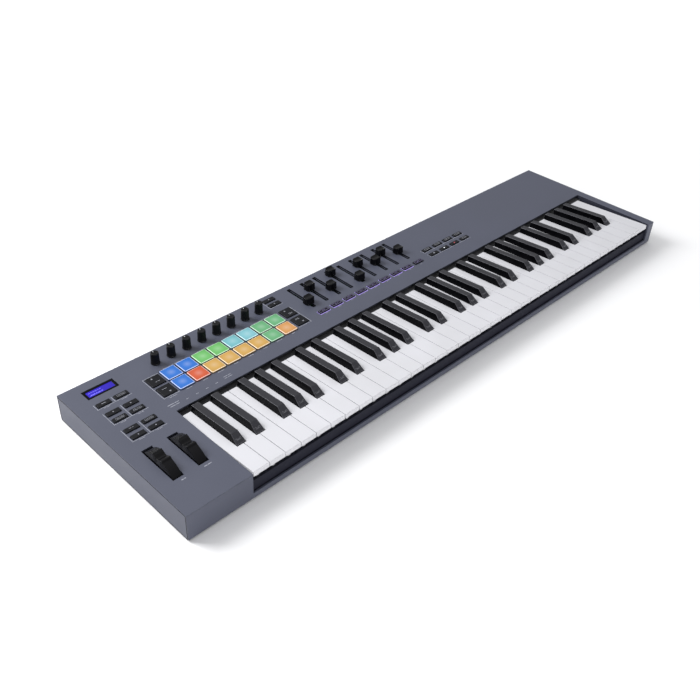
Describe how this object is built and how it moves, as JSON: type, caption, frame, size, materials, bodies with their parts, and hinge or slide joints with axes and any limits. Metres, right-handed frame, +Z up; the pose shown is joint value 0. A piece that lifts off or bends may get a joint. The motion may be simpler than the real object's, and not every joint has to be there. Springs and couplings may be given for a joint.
{
  "type": "synthesizer controller keyboard",
  "caption": "Slim slate-grey keyboard controller with sprung piano keys, pitch and modulation wheels, drum pads, knobs, faders, lit buttons and a small screen.",
  "frame": {"origin": "middle of the case's footprint, on the surface the feet stand on", "axes": "+X to the player's right along the keyboard, +Y away from the player to the back of the case, +Z up"},
  "size_m": [0.957, 0.256, 0.0562],
  "materials": {
    "case_plastic": "fine-textured slate grey ABS",
    "panel_plastic": "satin slate grey, fine texture",
    "frame_plastic": "matt black ABS",
    "white_key_plastic": "semi-gloss white",
    "black_key_plastic": "satin black, fine texture",
    "wheel_plastic": "satin charcoal",
    "knob_plastic": "satin black",
    "pad_silicone": "frosted translucent silicone, lit from below",
    "button_rubber": "matt charcoal with lit edges",
    "window": "clear tinted acrylic",
    "screen": "lit blue liquid crystal in a black frame",
    "circuit_board": "green solder mask",
    "part_housing": "moulded black nylon",
    "dome_silicone": "soft grey silicone",
    "felt": "dark pressed felt",
    "rubber": "matt black rubber",
    "screw_steel": "black oxide",
    "steel_rod": "ground steel",
    "spring_steel": "bright spring steel",
    "socket_steel": "nickel-plated shell"
  },
  "bodies": {
    "case": {"bottom_case": "case_plastic", "top_panel": "panel_plastic", "end_caps": "case_plastic", "rubber_feet": "rubber", "case_screws": "screw_steel", "key_frame": "frame_plastic", "key_pivot_rod": "steel_rod", "key_contact_board": "circuit_board", "key_contact_strips": "dome_silicone", "key_springs": "spring_steel", "key_felts": "felt", "control_board": "circuit_board", "main_board": "circuit_board", "display_module": "screen", "display_window": "window", "knob_pots": "part_housing", "fader_tracks": "part_housing", "wheel_bracket": "frame_plastic", "wheel_sensors": "circuit_board", "pitch_wheel_spring": "spring_steel", "usb_socket": "socket_steel", "midi_socket": "part_housing", "pedal_jacks": "part_housing"},
    "keys_c": {"keys_c": "white_key_plastic"},
    "keys_c_sharp": {"keys_c_sharp": "black_key_plastic"},
    "keys_d": {"keys_d": "white_key_plastic"},
    "keys_d_sharp": {"keys_d_sharp": "black_key_plastic"},
    "keys_e": {"keys_e": "white_key_plastic"},
    "keys_f": {"keys_f": "white_key_plastic"},
    "keys_f_sharp": {"keys_f_sharp": "black_key_plastic"},
    "keys_g": {"keys_g": "white_key_plastic"},
    "keys_g_sharp": {"keys_g_sharp": "black_key_plastic"},
    "keys_a": {"keys_a": "white_key_plastic"},
    "keys_a_sharp": {"keys_a_sharp": "black_key_plastic"},
    "keys_b": {"keys_b": "white_key_plastic"},
    "pitch_wheel": {"pitch_wheel": "wheel_plastic"},
    "mod_wheel": {"mod_wheel": "wheel_plastic"},
    "rotary_knob_1": {"rotary_knob_1": "knob_plastic"},
    "rotary_knob_2": {"rotary_knob_2": "knob_plastic"},
    "rotary_knob_3": {"rotary_knob_3": "knob_plastic"},
    "rotary_knob_4": {"rotary_knob_4": "knob_plastic"},
    "rotary_knob_5": {"rotary_knob_5": "knob_plastic"},
    "rotary_knob_6": {"rotary_knob_6": "knob_plastic"},
    "rotary_knob_7": {"rotary_knob_7": "knob_plastic"},
    "rotary_knob_8": {"rotary_knob_8": "knob_plastic"},
    "fader_cap_1": {"fader_cap_1": "knob_plastic"},
    "fader_cap_2": {"fader_cap_2": "knob_plastic"},
    "fader_cap_3": {"fader_cap_3": "knob_plastic"},
    "fader_cap_4": {"fader_cap_4": "knob_plastic"},
    "fader_cap_5": {"fader_cap_5": "knob_plastic"},
    "fader_cap_6": {"fader_cap_6": "knob_plastic"},
    "fader_cap_7": {"fader_cap_7": "knob_plastic"},
    "fader_cap_8": {"fader_cap_8": "knob_plastic"},
    "fader_cap_9": {"fader_cap_9": "knob_plastic"},
    "performance_pads": {"performance_pads": "pad_silicone"},
    "menu_buttons": {"menu_buttons": "button_rubber"},
    "square_buttons": {"square_buttons": "button_rubber"},
    "bank_buttons": {"bank_buttons": "button_rubber"},
    "fader_buttons": {"fader_buttons": "button_rubber"},
    "transport_buttons": {"transport_buttons": "button_rubber"}
  },
  "joints": [
    {"name": "press_keys_c", "type": "hinge", "parent": "case", "child": "keys_c", "pos_m": [0, 0.04, 0.027], "axis": [1, 0, 0], "range_deg": [0, 3.4], "stiffness_Nm_per_rad": 1.8, "springref_deg": -14.32},
    {"name": "press_keys_c_sharp", "type": "hinge", "parent": "case", "child": "keys_c_sharp", "pos_m": [0, 0.04, 0.027], "axis": [1, 0, 0], "range_deg": [0, 3.4], "stiffness_Nm_per_rad": 1.5, "springref_deg": -14.32},
    {"name": "press_keys_d", "type": "hinge", "parent": "case", "child": "keys_d", "pos_m": [0, 0.04, 0.027], "axis": [1, 0, 0], "range_deg": [0, 3.4], "stiffness_Nm_per_rad": 1.5, "springref_deg": -14.32},
    {"name": "press_keys_d_sharp", "type": "hinge", "parent": "case", "child": "keys_d_sharp", "pos_m": [0, 0.04, 0.027], "axis": [1, 0, 0], "range_deg": [0, 3.4], "stiffness_Nm_per_rad": 1.5, "springref_deg": -14.32},
    {"name": "press_keys_e", "type": "hinge", "parent": "case", "child": "keys_e", "pos_m": [0, 0.04, 0.027], "axis": [1, 0, 0], "range_deg": [0, 3.4], "stiffness_Nm_per_rad": 1.5, "springref_deg": -14.32},
    {"name": "press_keys_f", "type": "hinge", "parent": "case", "child": "keys_f", "pos_m": [0, 0.04, 0.027], "axis": [1, 0, 0], "range_deg": [0, 3.4], "stiffness_Nm_per_rad": 1.5, "springref_deg": -14.32},
    {"name": "press_keys_f_sharp", "type": "hinge", "parent": "case", "child": "keys_f_sharp", "pos_m": [0, 0.04, 0.027], "axis": [1, 0, 0], "range_deg": [0, 3.4], "stiffness_Nm_per_rad": 1.5, "springref_deg": -14.32},
    {"name": "press_keys_g", "type": "hinge", "parent": "case", "child": "keys_g", "pos_m": [0, 0.04, 0.027], "axis": [1, 0, 0], "range_deg": [0, 3.4], "stiffness_Nm_per_rad": 1.5, "springref_deg": -14.32},
    {"name": "press_keys_g_sharp", "type": "hinge", "parent": "case", "child": "keys_g_sharp", "pos_m": [0, 0.04, 0.027], "axis": [1, 0, 0], "range_deg": [0, 3.4], "stiffness_Nm_per_rad": 1.5, "springref_deg": -14.32},
    {"name": "press_keys_a", "type": "hinge", "parent": "case", "child": "keys_a", "pos_m": [0, 0.04, 0.027], "axis": [1, 0, 0], "range_deg": [0, 3.4], "stiffness_Nm_per_rad": 1.5, "springref_deg": -14.32},
    {"name": "press_keys_a_sharp", "type": "hinge", "parent": "case", "child": "keys_a_sharp", "pos_m": [0, 0.04, 0.027], "axis": [1, 0, 0], "range_deg": [0, 3.4], "stiffness_Nm_per_rad": 1.5, "springref_deg": -14.32},
    {"name": "press_keys_b", "type": "hinge", "parent": "case", "child": "keys_b", "pos_m": [0, 0.04, 0.027], "axis": [1, 0, 0], "range_deg": [0, 3.4], "stiffness_Nm_per_rad": 1.5, "springref_deg": -14.32},
    {"name": "pitch_bend", "type": "hinge", "parent": "case", "child": "pitch_wheel", "pos_m": [-0.45125, -0.04775, 0.0155], "axis": [1, 0, 0], "range_deg": [-25, 25], "stiffness_Nm_per_rad": 0.15},
    {"name": "modulation", "type": "hinge", "parent": "case", "child": "mod_wheel", "pos_m": [-0.4174, -0.04775, 0.0155], "axis": [1, 0, 0], "range_deg": [-25, 25]},
    {"name": "turn_knob_1", "type": "hinge", "parent": "case", "child": "rotary_knob_1", "pos_m": [-0.3558, 0.103, 0.045], "axis": [0, 0, 1], "range_deg": [-150, 150]},
    {"name": "turn_knob_2", "type": "hinge", "parent": "case", "child": "rotary_knob_2", "pos_m": [-0.33175, 0.103, 0.045], "axis": [0, 0, 1], "range_deg": [-150, 150]},
    {"name": "turn_knob_3", "type": "hinge", "parent": "case", "child": "rotary_knob_3", "pos_m": [-0.3077, 0.103, 0.045], "axis": [0, 0, 1], "range_deg": [-150, 150]},
    {"name": "turn_knob_4", "type": "hinge", "parent": "case", "child": "rotary_knob_4", "pos_m": [-0.28365, 0.103, 0.045], "axis": [0, 0, 1], "range_deg": [-150, 150]},
    {"name": "turn_knob_5", "type": "hinge", "parent": "case", "child": "rotary_knob_5", "pos_m": [-0.2596, 0.103, 0.045], "axis": [0, 0, 1], "range_deg": [-150, 150]},
    {"name": "turn_knob_6", "type": "hinge", "parent": "case", "child": "rotary_knob_6", "pos_m": [-0.23555, 0.103, 0.045], "axis": [0, 0, 1], "range_deg": [-150, 150]},
    {"name": "turn_knob_7", "type": "hinge", "parent": "case", "child": "rotary_knob_7", "pos_m": [-0.2115, 0.103, 0.045], "axis": [0, 0, 1], "range_deg": [-150, 150]},
    {"name": "turn_knob_8", "type": "hinge", "parent": "case", "child": "rotary_knob_8", "pos_m": [-0.18745, 0.103, 0.045], "axis": [0, 0, 1], "range_deg": [-150, 150]},
    {"name": "slide_fader_1", "type": "slide", "parent": "case", "child": "fader_cap_1", "axis": [0, 1, 0], "range_m": [-0.007, 0.038]},
    {"name": "slide_fader_2", "type": "slide", "parent": "case", "child": "fader_cap_2", "axis": [0, 1, 0], "range_m": [-0.032, 0.013]},
    {"name": "slide_fader_3", "type": "slide", "parent": "case", "child": "fader_cap_3", "axis": [0, 1, 0], "range_m": [-0.013, 0.032]},
    {"name": "slide_fader_4", "type": "slide", "parent": "case", "child": "fader_cap_4", "axis": [0, 1, 0], "range_m": [-0.04, 0.005]},
    {"name": "slide_fader_5", "type": "slide", "parent": "case", "child": "fader_cap_5", "axis": [0, 1, 0], "range_m": [-0.004, 0.041]},
    {"name": "slide_fader_6", "type": "slide", "parent": "case", "child": "fader_cap_6", "axis": [0, 1, 0], "range_m": [-0.032, 0.013]},
    {"name": "slide_fader_7", "type": "slide", "parent": "case", "child": "fader_cap_7", "axis": [0, 1, 0], "range_m": [-0.019, 0.026]},
    {"name": "slide_fader_8", "type": "slide", "parent": "case", "child": "fader_cap_8", "axis": [0, 1, 0], "range_m": [-0.032, 0.013]},
    {"name": "slide_fader_9", "type": "slide", "parent": "case", "child": "fader_cap_9", "axis": [0, 1, 0], "range_m": [-0.018, 0.027]},
    {"name": "press_pads", "type": "slide", "parent": "case", "child": "performance_pads", "axis": [0, 0, -1], "range_m": [0, 0.001], "stiffness_N_per_m": 4000, "springref_m": -0.001},
    {"name": "press_menu_buttons", "type": "slide", "parent": "case", "child": "menu_buttons", "axis": [0, 0, -1], "range_m": [0, 0.0008], "stiffness_N_per_m": 1200, "springref_m": -0.0015},
    {"name": "press_square_buttons", "type": "slide", "parent": "case", "child": "square_buttons", "axis": [0, 0, -1], "range_m": [0, 0.0008], "stiffness_N_per_m": 1200, "springref_m": -0.0015},
    {"name": "press_bank_buttons", "type": "slide", "parent": "case", "child": "bank_buttons", "axis": [0, 0, -1], "range_m": [0, 0.0008], "stiffness_N_per_m": 1200, "springref_m": -0.0015},
    {"name": "press_fader_buttons", "type": "slide", "parent": "case", "child": "fader_buttons", "axis": [0, 0, -1], "range_m": [0, 0.0008], "stiffness_N_per_m": 1200, "springref_m": -0.0015},
    {"name": "press_transport_buttons", "type": "slide", "parent": "case", "child": "transport_buttons", "axis": [0, 0, -1], "range_m": [0, 0.0008], "stiffness_N_per_m": 1200, "springref_m": -0.0015}
  ]
}
